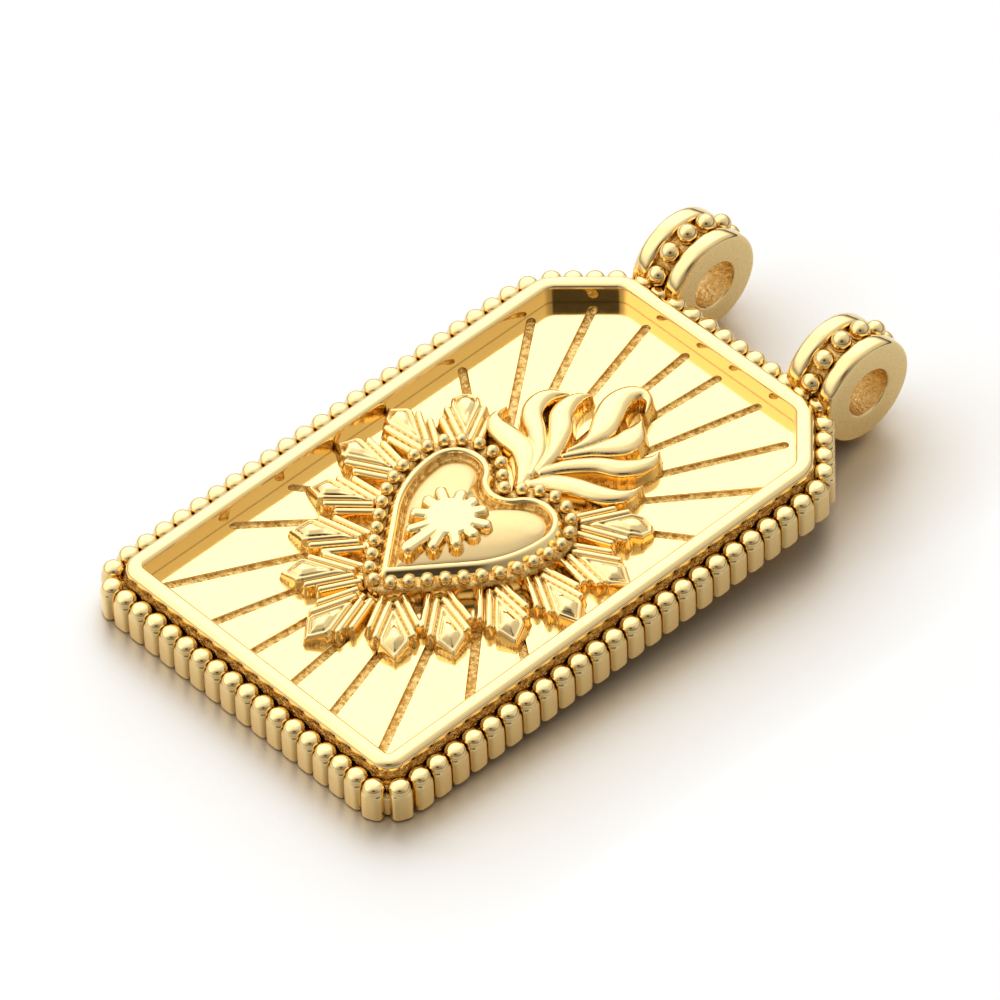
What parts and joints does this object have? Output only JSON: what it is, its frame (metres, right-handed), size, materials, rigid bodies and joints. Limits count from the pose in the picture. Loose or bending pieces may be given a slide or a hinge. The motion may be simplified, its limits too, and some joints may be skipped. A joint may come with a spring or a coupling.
{
  "type": "sacred heart pendant",
  "caption": "Cast pendant plate with two cut corners, a ribbed border and rim, a raised heart with starburst, leaf fans and flames on a rayed field, and a pair of beaded bails.",
  "frame": {"origin": "centre of the footprint, on the plane that the bails rest on", "axes": "+Z out of the decorated front, +Y up the pendant to the bails, +X across to the viewer's right"},
  "size_m": [0.0186, 0.0338, 0.0055],
  "materials": {
    "gold": "bright polished yellow gold, with cast texture left in the sunk rays and the trench"
  },
  "bodies": {
    "root": {"pendant": "gold"}
  },
  "joints": []
}
